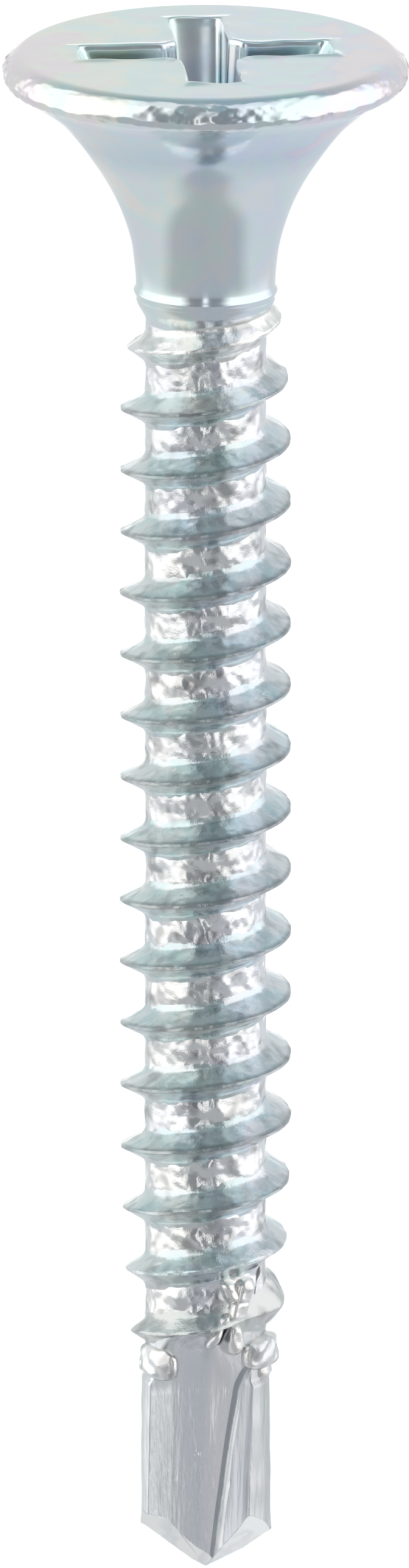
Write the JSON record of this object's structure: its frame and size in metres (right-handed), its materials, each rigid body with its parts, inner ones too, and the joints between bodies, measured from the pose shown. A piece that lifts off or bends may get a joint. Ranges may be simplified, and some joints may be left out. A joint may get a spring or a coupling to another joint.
{
  "type": "self-drilling drywall screw",
  "caption": "Self-drilling drywall screw: bugle head with a cross recess, right-hand thread and a two-flute drill point, bright zinc plated.",
  "frame": {"origin": "centre of the head's flat top face, on the screw's axis", "axes": "+Z along the screw's axis, out of the head; the drill point is at -Z; the recess's cross is turned 5 degrees from X and Y"},
  "size_m": [0.0084, 0.0084, 0.0321],
  "materials": {
    "zinc_forged": "bright zinc plate with a faint blue tint on smooth forged steel",
    "zinc_rolled": "bright zinc plate on the rolled thread and its slightly rough core",
    "zinc_pinched": "bright zinc plate on the pinched drill point, with fine flow marks"
  },
  "bodies": {
    "root": {"bugle_head": "zinc_forged", "neck": "zinc_forged", "shank_core": "zinc_rolled", "thread": "zinc_rolled", "drill_body": "zinc_pinched", "drill_tip": "zinc_pinched", "pinch_flash": "zinc_pinched"}
  },
  "joints": []
}
